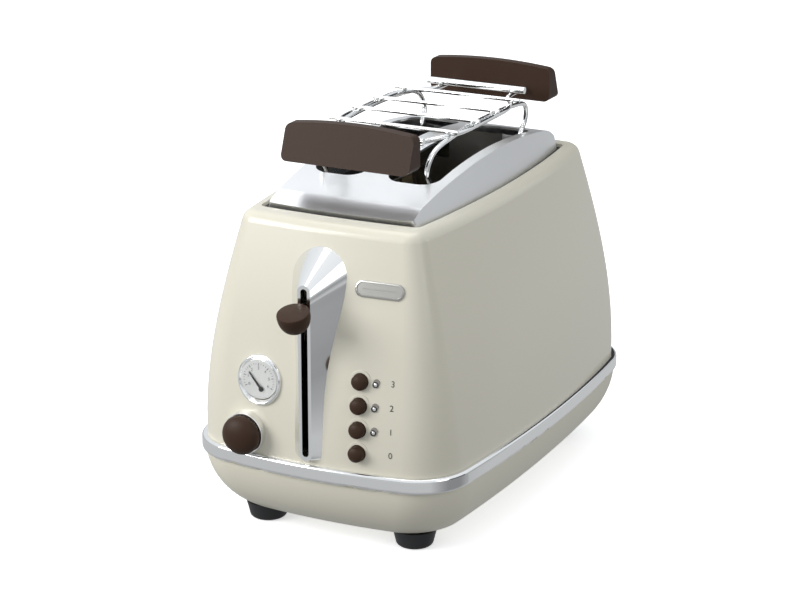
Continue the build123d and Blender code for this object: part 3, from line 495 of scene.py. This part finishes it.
# Badge. A satin-chromed pill with a raised rim round a plain sunk field, fixed to the face by
# pins from behind.
satin, satin_out = start_material("satin chrome")
satin_face = add_node(satin, "ShaderNodeBsdfPrincipled", Base_Color=linear("#B9B7B2"), Metallic=1.0,
                      Roughness=0.3)
satin.node_tree.links.new(satin_face.outputs[0], satin_out.inputs[0])

badge_x, badge_z = 0.0386, 0.1630
# Half the straight part between the round ends
badge_reach = 0.0104
badge_rings = []
for half, proud in ((0.0047, -0.0002), (0.0047, 0.0009), (0.0043, 0.0012), (0.0036, 0.0012), (0.0034, 0.0006),
                    (0.0001, 0.0006)):
    ring = []
    for side in (1, -1):
        for step in range(25):
            turn = radians(-90 + 180 * step / 24)
            x = badge_x + side * (badge_reach + cos(turn) * half)
            z = badge_z + side * sin(turn) * half
            place, normal = on_shell(x, z)
            ring.append(place + normal * proud)
    badge_rings.append(ring)
badge_pill = ringed_mesh("badge_pill", badge_rings, satin, crease=40)
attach(badge_pill, "housing")
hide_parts("badge")

# Marks beside the buttons. Plain numerals, screen-printed in dark ink on the enamel, one to each
# button from the lowest up.
for row, mark in enumerate("0123"):
    low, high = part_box(buttons[row])
    height = (low[2] + high[2]) / 2
    place, normal = on_shell(0.0515, height)
    printed(f"button_number_{mark}", mark, 0.0052, place, normal)

# Studio. A plain pale floor, a broad key light from the upper left, a weak light from above and
# a soft fill from the right. Grey cards, which only reflections show, stand round the chrome.
studio_paint, studio_paint_out = start_material("matt studio paint, white")
studio_face = add_node(studio_paint, "ShaderNodeBsdfPrincipled", Base_Color=linear("#F6F6F6"), Roughness=0.9,
                       Emission_Color=linear("#FFFFFF"), Emission_Strength=0.55)
studio_paint.node_tree.links.new(studio_face.outputs[0], studio_paint_out.inputs[0])
floor = flat_mesh("floor", [(-6, -6, 0), (6, -6, 0), (6, 6, 0), (-6, 6, 0)], [(0, 1, 2, 3)], studio_paint)
floor.visible_diffuse = False
floor.visible_glossy = False

world = bpy.data.worlds.new("studio")
bpy.context.scene.world = world
world.use_nodes = True
sky_place = add_node(world, "ShaderNodeTexCoord")
sky_split = add_node(world, "ShaderNodeSeparateXYZ", Vector=sky_place.outputs["Generated"])
sky_height = add_node(world, "ShaderNodeMapRange", Value=sky_split.outputs["Z"], From_Min=-1.0)
sky_shades = add_node(world, "ShaderNodeValToRGB", Fac=sky_height.outputs[0])
sky_shades.color_ramp.elements[0].color = linear("#8A8C8E")
sky_shades.color_ramp.elements[1].color = linear("#DDE0E4")
for place, shade in ((0.44, "#B8BABC"), (0.5, "#7E8082"), (0.56, "#C8CBCE"), (0.75, "#D0D4D8")):
    sky_shades.color_ramp.elements.new(place).color = linear(shade)
world.node_tree.links.new(sky_shades.outputs[0], world.node_tree.nodes["Background"].inputs["Color"])
# The room is a little brighter in the chrome than on the enamel
sky_path = add_node(world, "ShaderNodeLightPath")
sky_power = add_node(world, "ShaderNodeMapRange", Value=sky_path.outputs["Is Glossy Ray"], To_Min=1.0,
                     To_Max=1.38)
world.node_tree.links.new(sky_power.outputs[0], world.node_tree.nodes["Background"].inputs["Strength"])


def soft_light(name, place, aim, width, height, power):
    """A rectangular soft light that points at a place."""
    lamp = bpy.data.lights.new(name, "AREA")
    lamp.shape = "RECTANGLE"
    lamp.size = width
    lamp.size_y = height
    lamp.energy = power
    light = bpy.data.objects.new(name, lamp)
    light.location = place
    light.rotation_euler = (Vector(aim) - Vector(place)).to_track_quat("-Z", "Y").to_euler()
    bpy.context.scene.collection.objects.link(light)


soft_light("key", (-1.2, -1.3, 0.95), (0, 0, 0.12), 1.0, 1.0, 26)
soft_light("top", (-0.2, 0.3, 1.8), (0, 0, 0.12), 1.2, 1.2, 8)
soft_light("fill", (1.7, -0.4, 0.9), (0, 0, 0.12), 0.8, 1.2, 3)

card_paint, card_paint_out = start_material("matt card, dark grey")
card_face = add_node(card_paint, "ShaderNodeBsdfPrincipled", Base_Color=linear("#2E2E30"), Roughness=0.9)
card_paint.node_tree.links.new(card_face.outputs[0], card_paint_out.inputs[0])
for name, corners in (
    ("card_behind", [(-0.5, 1.3, 0.3), (0.5, 1.3, 0.3), (0.5, 1.3, 1.0), (-0.5, 1.3, 1.0)]),
    ("card_right", [(1.4, -0.2, 0.05), (1.4, 0.9, 0.05), (1.4, 0.9, 0.5), (1.4, -0.2, 0.5)]),
):
    card = flat_mesh(name, corners, [(0, 1, 2, 3)], card_paint)
    card.visible_camera = False
    card.visible_shadow = False
    card.visible_diffuse = False

# Card below the floor's level, darkest in the middle, that the lever bezel's flank reflects
low_paint, low_paint_out = start_material("matt card, mid grey")
low_place = add_node(low_paint, "ShaderNodeTexCoord")
low_split = add_node(low_paint, "ShaderNodeSeparateXYZ", Vector=low_place.outputs["Generated"])
low_shades = add_node(low_paint, "ShaderNodeValToRGB", Fac=low_split.outputs["Y"])
low_shades.color_ramp.elements[0].color = linear("#C6C8CA")
low_shades.color_ramp.elements[1].color = linear("#BCBEC0")
for place, shade in ((0.35, "#8E9092"), (0.6, "#8E9092")):
    low_shades.color_ramp.elements.new(place).color = linear(shade)
low_face = add_node(low_paint, "ShaderNodeEmission", Color=low_shades.outputs[0], Strength=1.0)
low_paint.node_tree.links.new(low_face.outputs[0], low_paint_out.inputs[0])
low_card = flat_mesh("card_low", [(1.3, -1.1, -1.4), (1.3, 1.6, -1.4), (1.3, 1.6, -0.02), (1.3, -1.1, -0.02)],
                     [(0, 1, 2, 3)], low_paint)
low_card.visible_camera = False
low_card.visible_shadow = False
low_card.visible_diffuse = False

# Camera. A long lens at the photograph's height and angle, aimed at the middle of the toaster
# and level across the frame.
camera_lens = bpy.data.cameras.new("camera")
camera_lens.sensor_width = 36.0
camera_lens.lens = 119.4
camera = bpy.data.objects.new("camera", camera_lens)
azimuth = radians(26.6)
elevation = radians(18.0)
target = Vector((0, -0.0252 + housing_middle, 0.1219))
away = Vector((sin(azimuth) * cos(elevation), -cos(azimuth) * cos(elevation), sin(elevation)))
camera.location = target + away * 1.6294
camera.rotation_euler = (-away).to_track_quat("-Z", "Y").to_euler()
bpy.context.scene.collection.objects.link(camera)
bpy.context.scene.camera = camera
bpy.context.scene.view_settings.view_transform = "Standard"
